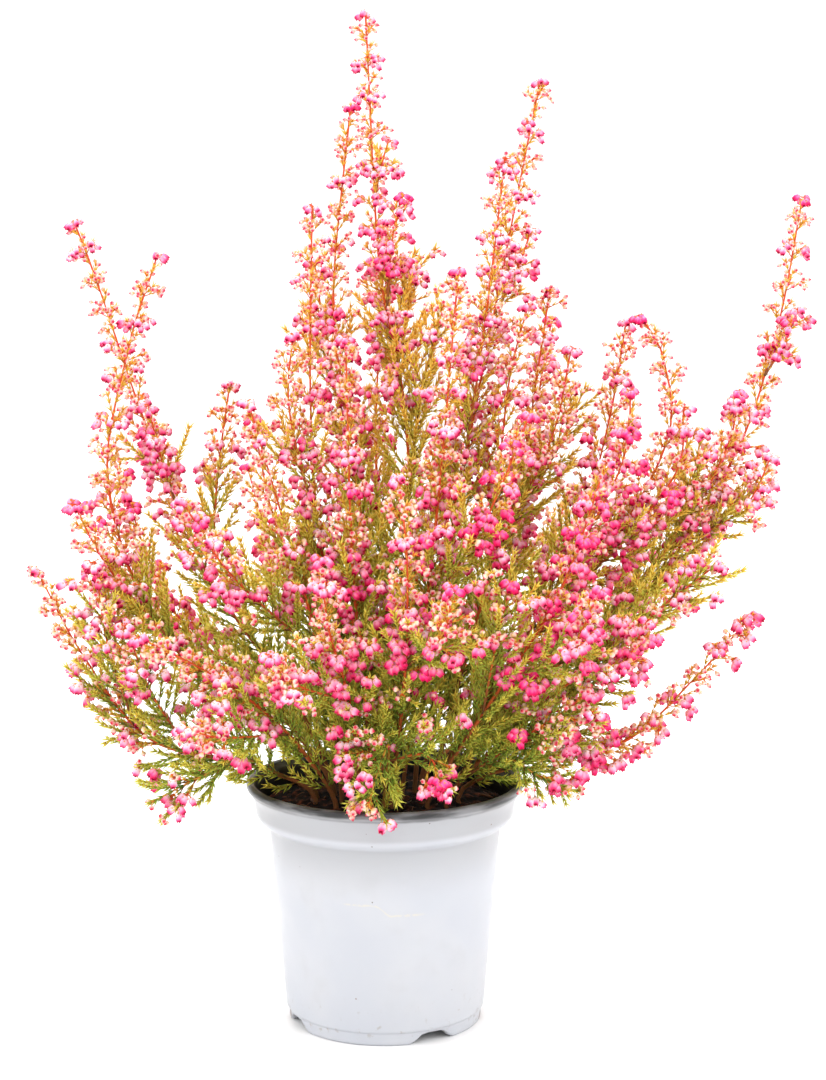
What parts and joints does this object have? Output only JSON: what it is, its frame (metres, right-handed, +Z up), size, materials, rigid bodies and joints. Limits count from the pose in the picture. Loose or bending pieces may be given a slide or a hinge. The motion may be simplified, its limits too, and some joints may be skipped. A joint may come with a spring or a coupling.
{
  "type": "potted cape heath",
  "caption": "Cape heath in bloom in a round plastic nursery pot: upright stems with needle leaves and tiers of nodding pink bells, standing in peat.",
  "frame": {"origin": "middle of the pot's base, on the plane that the pot stands on", "axes": "+Z up, +X to the right and -Y towards the viewer in the picture"},
  "size_m": [0.3038, 0.2209, 0.3996],
  "materials": {
    "pot": "white injection moulded plastic, semi gloss, black inside",
    "soil": "dark moist peat with crumbs and fibres",
    "spray": "yellow green needles, orange red stems and pink bells"
  },
  "bodies": {
    "root": {"pot": "pot", "soil": "soil", "spray_tall": "spray", "spray_second": "spray", "spray_column": "spray", "spray_column_front": "spray", "spray_right_spire": "spray", "spray_centre": "spray", "spray_mid_right": "spray", "spray_arch": "spray", "spray_far_right": "spray", "spray_low_right": "spray", "spray_far_left": "spray", "spray_left": "spray", "spray_low_left": "spray", "spray_slant": "spray", "spray_rim": "spray", "spray_front": "spray", "spray_front_right": "spray", "spray_front_left": "spray", "spray_left_front": "spray", "spray_right_front": "spray", "spray_back": "spray", "spray_back_left": "spray", "spray_back_right": "spray", "spray_back_far_left": "spray", "spray_back_far_right": "spray", "spray_back_low": "spray", "spray_back_low_left": "spray", "spray_back_low_right": "spray"}
  },
  "joints": []
}
